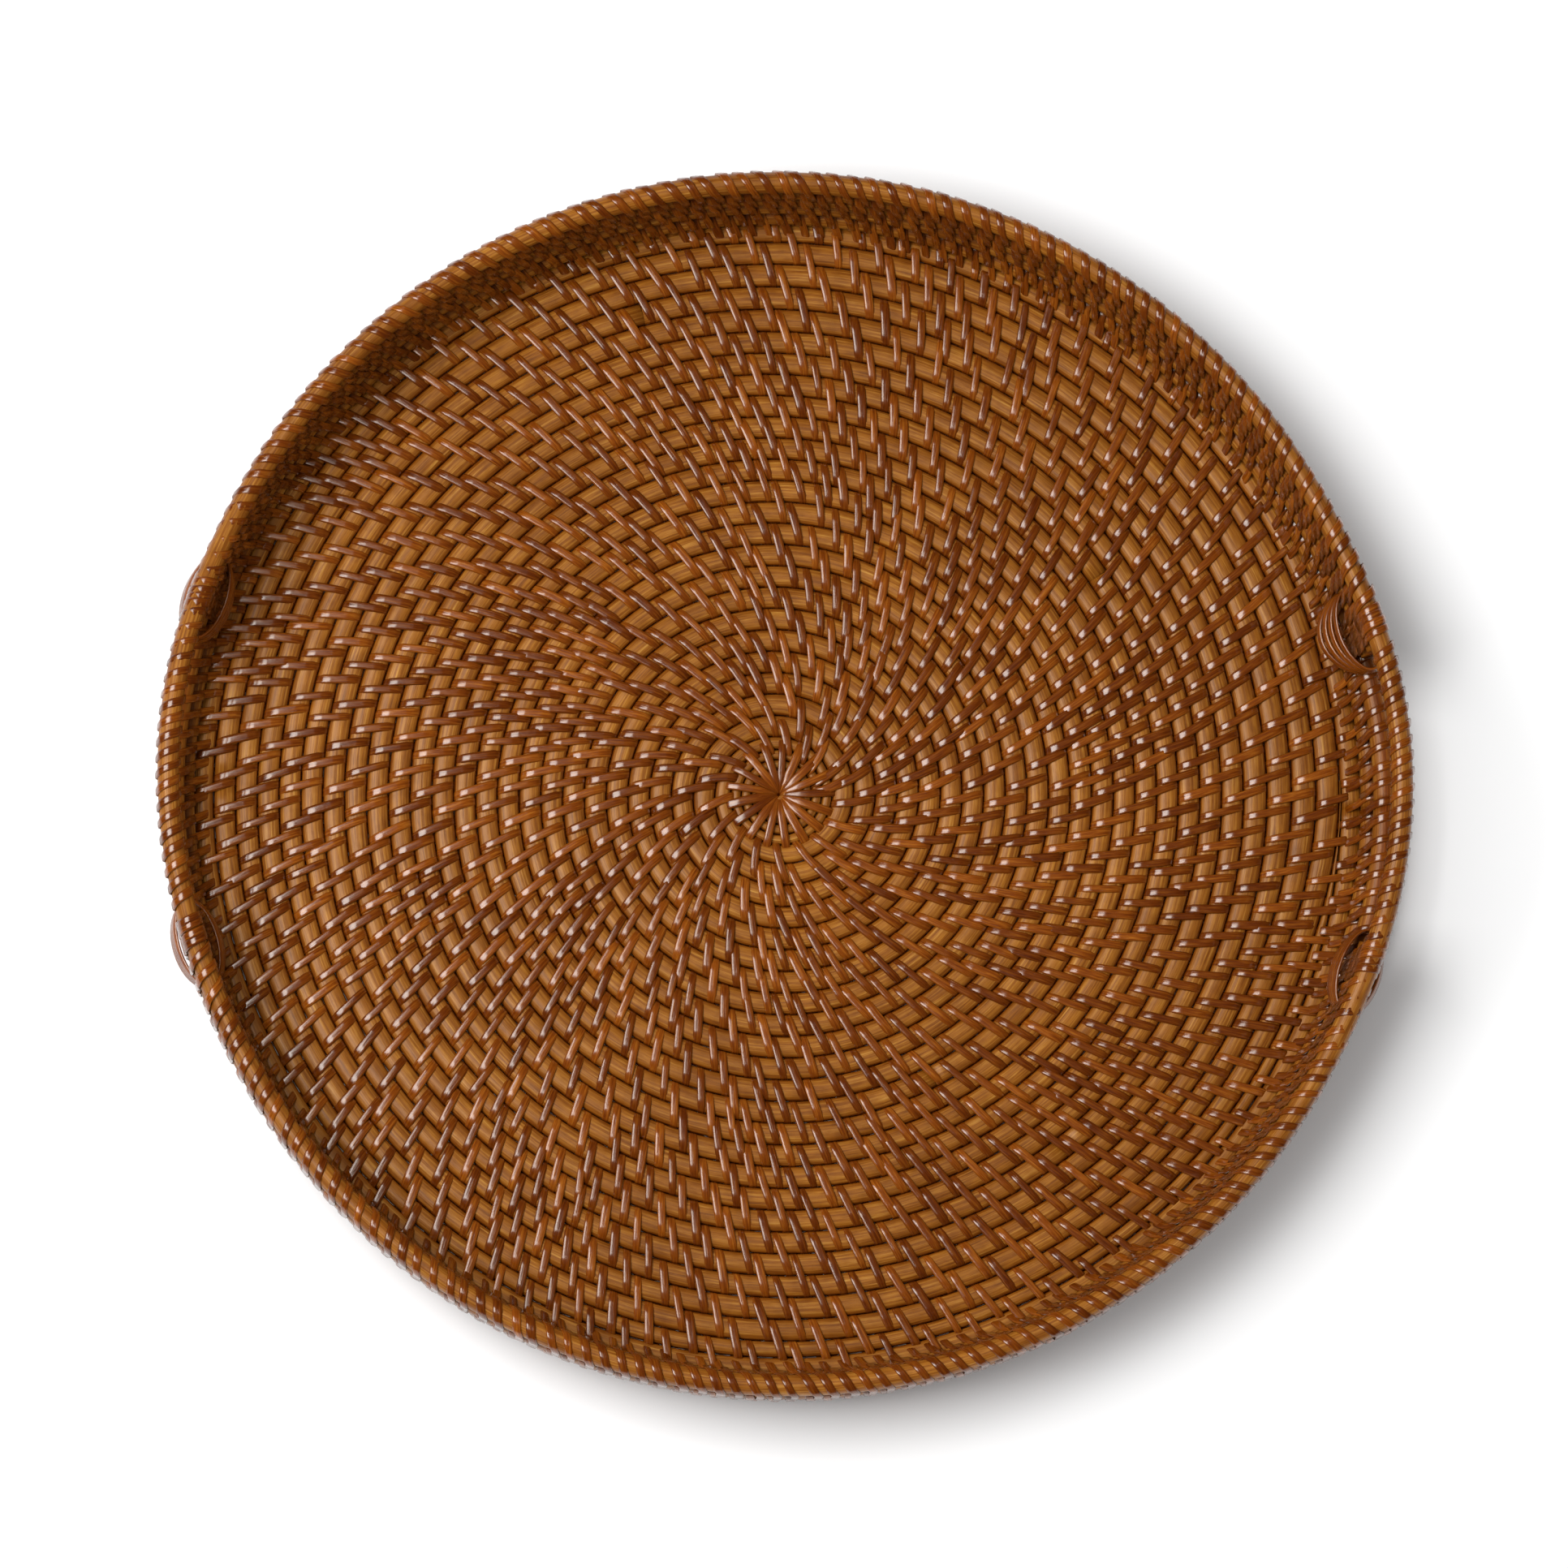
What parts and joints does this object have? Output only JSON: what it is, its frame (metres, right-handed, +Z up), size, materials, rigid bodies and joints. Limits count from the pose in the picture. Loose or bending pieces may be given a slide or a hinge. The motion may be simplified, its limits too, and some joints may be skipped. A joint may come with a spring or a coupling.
{
  "type": "winnowing basket",
  "caption": "Round shallow coiled rattan basket with a flat floor, a low stitched wall and two hand slots under lifted stretches of the rim.",
  "frame": {"origin": "on the ground, at the middle of the basket's footprint", "axes": "+Z up out of the basket, +X and -X through the two hand slots, -Y towards the front"},
  "size_m": [0.4114, 0.4064, 0.0552],
  "materials": {
    "rattan_core": "honey-brown rattan core with a satin varnish",
    "binding_strip": "darker red-brown peeled rattan strip, glossy varnish"
  },
  "bodies": {
    "root": {"centre_coil": "rattan_core", "centre_knot": "binding_strip", "centre_binding": "binding_strip", "floor_core_1": "rattan_core", "floor_core_2": "rattan_core", "floor_core_3": "rattan_core", "floor_core_4": "rattan_core", "floor_core_5": "rattan_core", "floor_core_6": "rattan_core", "floor_tail": "rattan_core", "floor_edge_core": "rattan_core", "wall_core_1_front": "rattan_core", "wall_core_1_back": "rattan_core", "wall_core_2_front": "rattan_core", "wall_core_2_back": "rattan_core", "wall_core_3_front": "rattan_core", "wall_core_3_back": "rattan_core", "wall_core_4_front": "rattan_core", "wall_core_4_back": "rattan_core", "rim_core": "rattan_core", "binding_loop_front_right": "binding_strip", "binding_loop_back_right": "binding_strip", "binding_loop_front_left": "binding_strip", "binding_loop_back_left": "binding_strip"}
  },
  "joints": []
}
